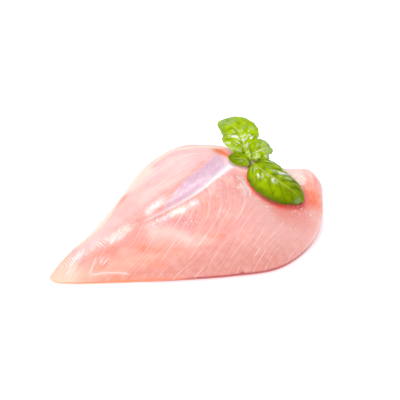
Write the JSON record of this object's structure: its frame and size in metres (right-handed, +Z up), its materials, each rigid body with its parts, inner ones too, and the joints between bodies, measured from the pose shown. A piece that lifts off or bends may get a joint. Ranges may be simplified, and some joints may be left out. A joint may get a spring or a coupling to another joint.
{
  "type": "raw turkey breast fillet",
  "caption": "Raw skinless boneless turkey breast fillet, a drop-shaped muscle with a thin tip and a thick rounded end, with a sprig of fresh basil resting on it.",
  "frame": {"origin": "middle of the whole in plan, on the surface that the fillet lies on", "axes": "+X from the thin tip to the thick rounded end, +Y from the straight near edge to the high far flank, +Z up"},
  "size_m": [0.237, 0.1448, 0.0548],
  "materials": {
    "raw_meat": "wet raw poultry, pink with fine pale fibres, a cream seam of fat and a lilac-white membrane",
    "basil_leaf": "fresh green leaf, satin, puffed between sunken veins"
  },
  "bodies": {
    "root": {"turkey_breast": "raw_meat", "basil_sprig": "basil_leaf"}
  },
  "joints": []
}
